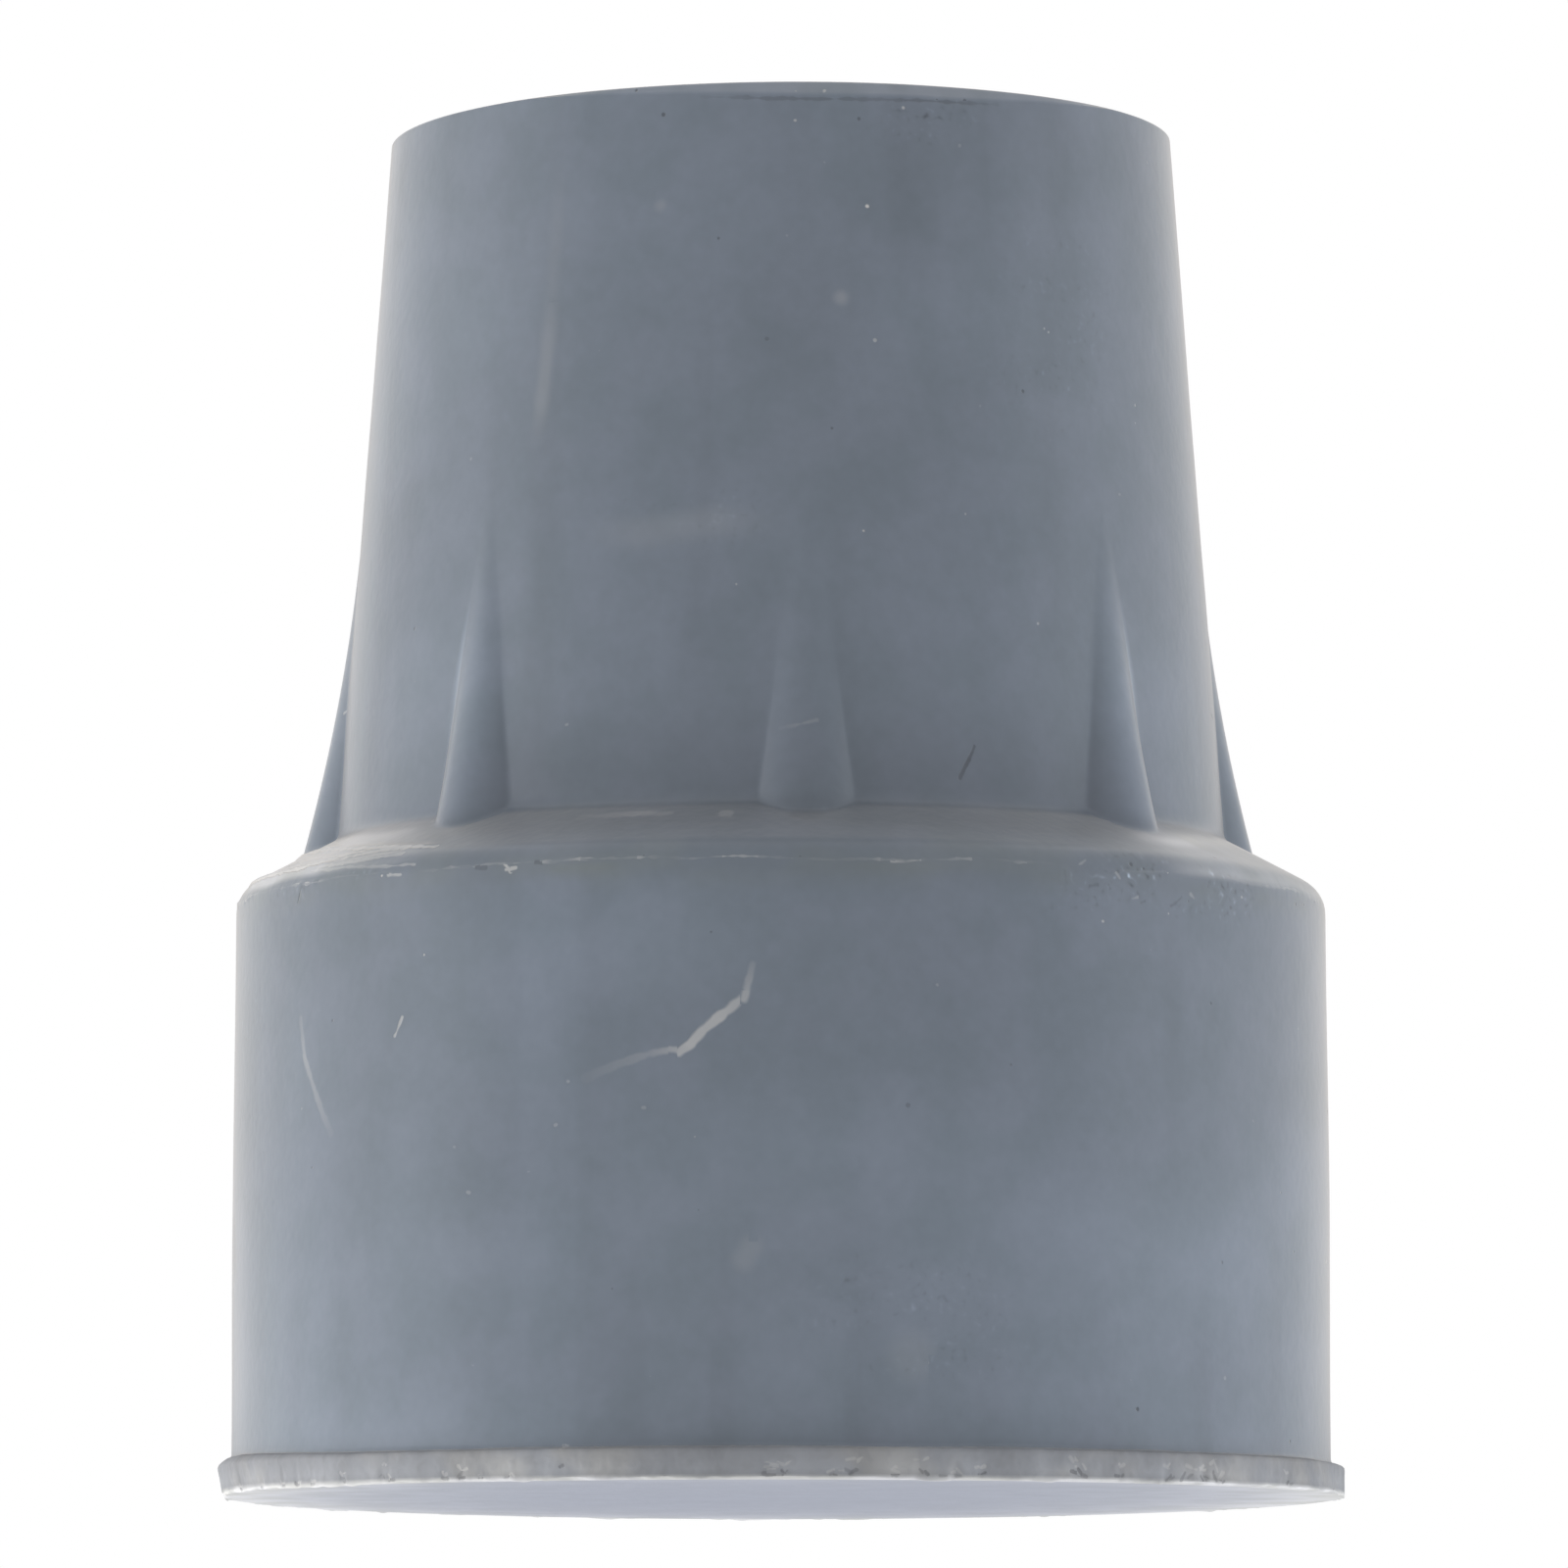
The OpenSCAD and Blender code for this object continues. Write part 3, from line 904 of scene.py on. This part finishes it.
def nearest_mark(tree, wobble):
    """How strongly the nearest mark shows: above 0 where it is pale, and below 0 where it is dark."""
    along, across, half = carried(tree, "mark_place")
    width, soft, strength = carried(tree, "mark_kind")
    beyond = calc(tree, "MAXIMUM", calc(tree, "SUBTRACT", calc(tree, "ABSOLUTE", along), half), 0.0)
    apart = calc(tree, "SQRT", calc(tree, "ADD", calc(tree, "MULTIPLY", beyond, beyond),
                                    calc(tree, "MULTIPLY", across, across)))
    apart = calc(tree, "ADD", apart, wobble)
    mask = fade(tree, apart, calc(tree, "ADD", width, soft), width)
    return calc(tree, "MULTIPLY", mask, strength)


# ---------------------------------------------------------------- the rubber


def grey(tree, zone, on_flange, warm, tint, grain):
    """The colour of clean rubber: the wall, the weathered flange and the sole each have their own grey."""
    # Clouds of slightly different greys, and warm dust on the crest
    wall = blend(tree, srgb(103, 113, 125), srgb(106, 115, 128), fade(tree, tint, 0.35, 0.65))
    wall = blend(tree, wall, srgb(113, 120, 119), warm)
    # The flange is more neutral, with darker flecks.
    weathered = blend(tree, srgb(130, 133, 139), srgb(138, 139, 141), fade(tree, tint, 0.4, 0.65))
    darker = calc(tree, "MULTIPLY", fade(tree, grain, 0.5, 0.75), 0.4)
    weathered = blend(tree, weathered, srgb(117, 119, 123), darker)
    colour = blend(tree, wall, weathered, on_flange)
    return blend(tree, colour, srgb(130, 135, 149), fade(tree, zone, 1.2, 1.8))


def with_wear_and_painted_light(tree, colour, pale, tint, marked):
    """The colour with its worn and torn places and the painted highlights and reflections that share their
    pale tone, and its marks.
    """
    pale_tone = blend(tree, srgb(186, 187, 187), srgb(202, 203, 207), fade(tree, tint, 0.4, 0.6))
    colour = blend(tree, colour, pale_tone, pale)
    colour = blend(tree, colour, srgb(196, 195, 194), calc(tree, "MULTIPLY", marked, 1.0, clamp=True))
    return blend(tree, colour, srgb(48, 50, 56), calc(tree, "MULTIPLY", marked, -1.0, clamp=True))


def rubber():
    """The weathered grey rubber of the tip."""
    made = bpy.data.materials.new("grey_rubber")
    made.use_nodes = True
    tree = made.node_tree
    shader = tree.nodes["Principled BSDF"]
    place = node(tree, "TexCoord").outputs["Object"]
    point = node(tree, "VectorMath", {0: place, "Scale": 1 / MM}, operation="SCALE").outputs[0]
    pale, light, warm = carried(tree, "looks")
    zone, rough, _ = carried(tree, "zone")
    on_flange = fade(tree, zone, 0.3, 0.8)
    tint = noise(tree, point, 0.4, 2.0)
    grain = noise(tree, point, 2.4, 1.0)
    uneven = calc(tree, "SUBTRACT", grain, 0.5)
    marked = nearest_mark(tree, calc(tree, "MULTIPLY", uneven, 0.16))

    # Lighter and darker places, which hold the painted light and shade that the mesh carries as well as a
    # random tone, and the flecks of scuffed rubber
    flecks = calc(tree, "POWER", calc(tree, "SUBTRACT", noise(tree, point, 4.5, 0.0), 0.5), 3.0)
    flecks = calc(tree, "MULTIPLY", calc(tree, "MULTIPLY", flecks, rough), 22.0)
    mottle = calc(tree, "MULTIPLY", uneven, 0.2)
    mottle = calc(tree, "ADD", mottle, calc(tree, "MULTIPLY", calc(tree, "SUBTRACT", tint, 0.5), 0.25))
    light = calc(tree, "ADD", calc(tree, "ADD", light, mottle), flecks)
    factor = calc(tree, "POWER", 1.85, light)
    colour = grey(tree, zone, on_flange, warm, tint, grain)
    colour = node(tree, "VectorMath", {0: colour, "Scale": factor}, operation="SCALE").outputs[0]
    plug(shader.inputs["Base Color"], with_wear_and_painted_light(tree, colour, pale, tint, marked))

    # The flange and the worn places are duller.
    dull = calc(tree, "ADD", 0.31, calc(tree, "MULTIPLY", on_flange, 0.3))
    dull = calc(tree, "ADD", dull, calc(tree, "MULTIPLY", pale, 0.15), clamp=True)
    plug(shader.inputs["Roughness"], dull)

    # Relief: a fine grain that is coarser on the flange, and the depth of the marks
    coarse = calc(tree, "ADD", 0.008, calc(tree, "MULTIPLY", on_flange, 0.03))
    relief = calc(tree, "MULTIPLY", grain, coarse)
    relief = calc(tree, "ADD", relief, calc(tree, "MULTIPLY", flecks, 0.006))
    relief = calc(tree, "SUBTRACT", relief, calc(tree, "MULTIPLY", calc(tree, "ABSOLUTE", marked), 0.03))
    bump = node(tree, "Bump", {"Height": relief, "Distance": MM, "Strength": 1.0})
    plug(shader.inputs["Normal"], bump.outputs[0])

    # The soft haze of the dusty wall
    plug(shader.inputs["Sheen Weight"], calc(tree, "MULTIPLY", fade(tree, zone, 0.8, 0.2), 0.6))
    shader.inputs["Sheen Roughness"].default_value = 0.3
    shader.inputs["Sheen Tint"].default_value = (1, 0.92, 0.84, 1)
    return made


mesh.materials.append(rubber())

# ---------------------------------------------------------------- floor, light and camera

FLOOR_Z = 0.02
HOLE_R = FLANGE_R - 0.4
WINDOW_R = 45.0
FLOOR_R = 2000.0


def floor_mesh():
    """A wide floor with a round hole under the sole, so that light reaches the sole from below. Its edge
    is hidden in the flange. The window round the hole has a paint of its own."""
    n = 192
    turn = np.radians(even(n))
    circle = np.stack([np.cos(turn), np.sin(turn), 0 * turn], 1)
    corners = np.vstack([circle * r + (0, 0, FLOOR_Z) for r in (HOLE_R, WINDOW_R, FLOOR_R)])
    quads = []
    for inner in (0, n):
        outer = inner + n
        quads += [(inner + i, outer + i, outer + (i + 1) % n, inner + (i + 1) % n) for i in range(n)]
    made = bpy.data.meshes.new("floor")
    made.from_pydata((corners * MM).tolist(), [], quads)
    made.polygons.foreach_set("material_index", np.repeat((1, 0), n))
    return made


def seen_directly(tree):
    """1 for a ray from the camera or from a mirror or glass, and 0 for one that only carries light."""
    ray = node(tree, "LightPath").outputs
    seen = calc(tree, "MAXIMUM", ray["Is Camera Ray"], ray["Is Glossy Ray"])
    return calc(tree, "MAXIMUM", seen, ray["Is Transmission Ray"])


def floor_paint(name, window):
    """Plain pale paint on top, and clear from below, because the camera stands lower than the floor. The
    window looks the same, but lets the light from below through, as a light table does."""
    made = bpy.data.materials.new(name)
    made.use_nodes = True
    tree = made.node_tree
    paint = tree.nodes["Principled BSDF"]
    paint.inputs["Base Color"].default_value = (0.9, 0.9, 0.9, 1)
    paint.inputs["Roughness"].default_value = 0.8
    clear = node(tree, "BsdfTransparent")
    unseen = node(tree, "NewGeometry").outputs["Backfacing"]
    if window:
        unseen = calc(tree, "MAXIMUM", unseen, calc(tree, "SUBTRACT", 1.0, seen_directly(tree)))
    mixed = node(tree, "MixShader", {0: unseen, 1: paint.outputs[0], 2: clear.outputs[0]})
    plug(tree.nodes["Material Output"].inputs["Surface"], mixed.outputs[0])
    return made


floor = bpy.data.objects.new("floor", floor_mesh())
floor.data.materials.append(floor_paint("floor", False))
floor.data.materials.append(floor_paint("floor_window", True))
bpy.context.scene.collection.objects.link(floor)


def studio(strength):
    """A plain white world that lights the object at this strength, and looks white itself."""
    world = bpy.data.worlds.new("studio")
    world.use_nodes = True
    tree = world.node_tree
    light = tree.nodes["Background"]
    light.inputs["Color"].default_value = (1, 1, 1, 1)
    light.inputs["Strength"].default_value = strength
    white = node(tree, "Background", {"Color": (1, 1, 1, 1), "Strength": 1.0})
    mixed = node(tree, "MixShader", {0: seen_directly(tree), 1: light.outputs[0], 2: white.outputs[0]})
    plug(tree.nodes["World Output"].inputs["Surface"], mixed.outputs[0])
    bpy.context.scene.world = world


def soft_box(name, angle, z, distance, size, power, tint=(1, 1, 1)):
    """A square lamp at this angle round the object, which faces the object's middle. It is not seen, and it
    leaves no highlight."""
    lamp = bpy.data.lights.new(name, "AREA")
    lamp.shape = "SQUARE"
    lamp.size = size * MM
    lamp.energy = power
    lamp.color = tint
    made = bpy.data.objects.new(name, lamp)
    made.visible_glossy = False
    made.visible_camera = False
    turn = math.radians(angle)
    spot = Vector((distance * math.sin(turn), -distance * math.cos(turn), z)) * MM
    made.location = spot
    made.rotation_mode = "QUATERNION"
    made.rotation_quaternion = (spot - Vector((0, 0, TIP_H / 2 * MM))).to_track_quat("Z", "Y")
    bpy.context.scene.collection.objects.link(made)


studio(0.63)
BOX_AWAY, BOX_SIZE = 480, 380
soft_box("left_box", -87, 10, BOX_AWAY, BOX_SIZE, 2.5, (1, 0.98, 0.94))
soft_box("left_back_box", -127, 10, BOX_AWAY, BOX_SIZE, 1.5, (1, 0.96, 0.92))
soft_box("right_box", 92, 10, BOX_AWAY, BOX_SIZE, 2.3)
soft_box("under_box", 0, -320, 10, BOX_SIZE, 0.6)

# The camera stands a little to the left of the front rib, below the floor, and looks up at the tip.
CAMERA_AWAY = 355.04
CAMERA_Z = -12.786
CAMERA_LEFT = math.radians(3.1)
CAMERA_TURN = math.radians(0.0161)
CAMERA_TILT = math.radians(5.966)
camera_data = bpy.data.cameras.new("camera")
camera_data.lens = 240.2
camera_data.sensor_width = 36
camera_data.clip_start, camera_data.clip_end = 0.01, 10
camera = bpy.data.objects.new("camera", camera_data)
bpy.context.scene.collection.objects.link(camera)
spot = Vector((-math.sin(CAMERA_LEFT) * CAMERA_AWAY, -math.cos(CAMERA_LEFT) * CAMERA_AWAY, CAMERA_Z)) * MM
camera.matrix_world = (
    Matrix.Translation(spot)
    @ Matrix.Rotation(-CAMERA_LEFT - CAMERA_TURN, 4, "Z")
    @ Matrix.Rotation(math.radians(90) + CAMERA_TILT, 4, "X")
)
bpy.context.scene.camera = camera
bpy.context.scene.view_settings.view_transform = "Standard"
